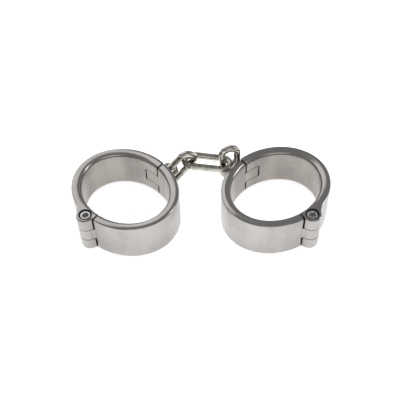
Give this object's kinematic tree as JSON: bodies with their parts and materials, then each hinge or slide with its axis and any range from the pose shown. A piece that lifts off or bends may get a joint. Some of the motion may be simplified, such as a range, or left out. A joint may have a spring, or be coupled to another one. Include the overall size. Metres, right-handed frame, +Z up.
{
  "type": "handcuffs",
  "caption": "Pair of oval band cuffs, each hinged on a pin and closed by a hex-socket cap screw in a lug, joined by a three-link chain.",
  "frame": {"origin": "centre of the plan extent of both cuffs and the chain, on the plane that the cuffs' lower rims rest on", "axes": "+X from the left cuff to the right cuff, +Y from the lug side towards the chain side, +Z up along the cuffs' bores"},
  "size_m": [0.1522, 0.065, 0.0358],
  "materials": {
    "satin_steel": "satin brushed, rims polished",
    "bright_steel": "polished",
    "dark_steel": "turned",
    "weld_steel": "as welded and brushed"
  },
  "bodies": {
    "left_chain_side": {"left_chain_half": "satin_steel", "left_chain_eye": "bright_steel", "left_front_weld": "weld_steel", "left_back_weld": "weld_steel"},
    "left_lug_side": {"left_lug_half": "satin_steel", "left_hinge_pin": "dark_steel"},
    "left_screw": {"left_lock_screw": "dark_steel"},
    "left_link": {"left_end_link": "bright_steel"},
    "middle_link": {"middle_link": "bright_steel"},
    "right_link": {"right_end_link": "bright_steel"},
    "right_chain_side": {"right_chain_half": "satin_steel", "right_chain_eye": "bright_steel", "right_front_weld": "weld_steel", "right_back_weld": "weld_steel"},
    "right_lug_side": {"right_lug_half": "satin_steel", "right_hinge_pin": "dark_steel"},
    "right_screw": {"right_lock_screw": "dark_steel"}
  },
  "joints": [
    {"name": "left_cuff_hinge", "type": "hinge", "parent": "left_chain_side", "child": "left_lug_side", "pos_m": [-0.02759, 0.02124, 0.0119], "axis": [0, 0, -1], "range_deg": [0, 44]},
    {"name": "left_screw_lift", "type": "slide", "parent": "left_lug_side", "child": "left_screw", "axis": [0, 0, 1], "range_m": [0, 0.024]},
    {"name": "left_link_swing", "type": "hinge", "parent": "left_chain_side", "child": "left_link", "pos_m": [-0.01947, 0.0246, 0.01275], "axis": [0, 0, 1], "range_deg": [-3, 14]},
    {"name": "middle_link_swing", "type": "hinge", "parent": "left_link", "child": "middle_link", "pos_m": [-0.00468, 0.02466, 0.02064], "axis": [0, 0, 1], "range_deg": [-10, 30]},
    {"name": "right_link_swing", "type": "hinge", "parent": "middle_link", "child": "right_link", "pos_m": [0.01361, 0.02246, 0.01978], "axis": [0, 0, 1], "range_deg": [-10, 40]},
    {"name": "right_cuff_swing", "type": "hinge", "parent": "right_link", "child": "right_chain_side", "pos_m": [0.02302, 0.02559, 0.01126], "axis": [0, 0, 1], "range_deg": [-10, 40]},
    {"name": "right_cuff_hinge", "type": "hinge", "parent": "right_chain_side", "child": "right_lug_side", "pos_m": [0.03007, 0.02173, 0.0119], "axis": [0, 0, 1], "range_deg": [0, 44]},
    {"name": "right_screw_lift", "type": "slide", "parent": "right_lug_side", "child": "right_screw", "axis": [0, 0, 1], "range_m": [0, 0.024]}
  ]
}
